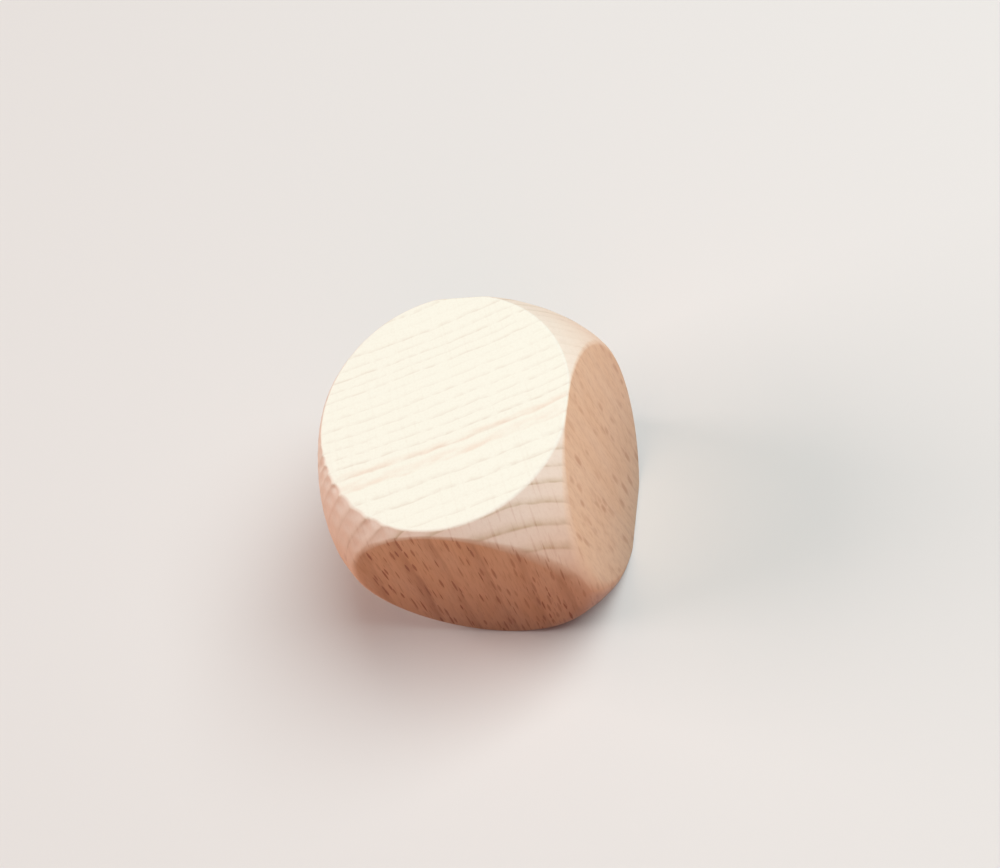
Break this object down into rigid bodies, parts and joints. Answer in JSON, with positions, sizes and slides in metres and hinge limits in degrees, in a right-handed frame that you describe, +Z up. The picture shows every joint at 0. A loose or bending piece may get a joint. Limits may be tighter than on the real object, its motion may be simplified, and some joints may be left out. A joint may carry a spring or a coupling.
{
  "type": "wooden cube",
  "caption": "Plain beech cube with its corners turned away to a barrel, which leaves a flat round land on each face; one solid piece that stands on any of them.",
  "frame": {"origin": "centre of the square blank's lower end face, on the surface that the cube stands on", "axes": "+Z up along the grain, out of the upper end-grain face; +X out of one side face; -Y out of the side face to its left when seen from that corner"},
  "size_m": [0.03, 0.03, 0.03],
  "materials": {
    "beech": "bare sanded beech, matt, with fine rings on the end grain and dark ray flecks along the sides"
  },
  "bodies": {
    "root": {"wooden_cube": "beech"}
  },
  "joints": []
}
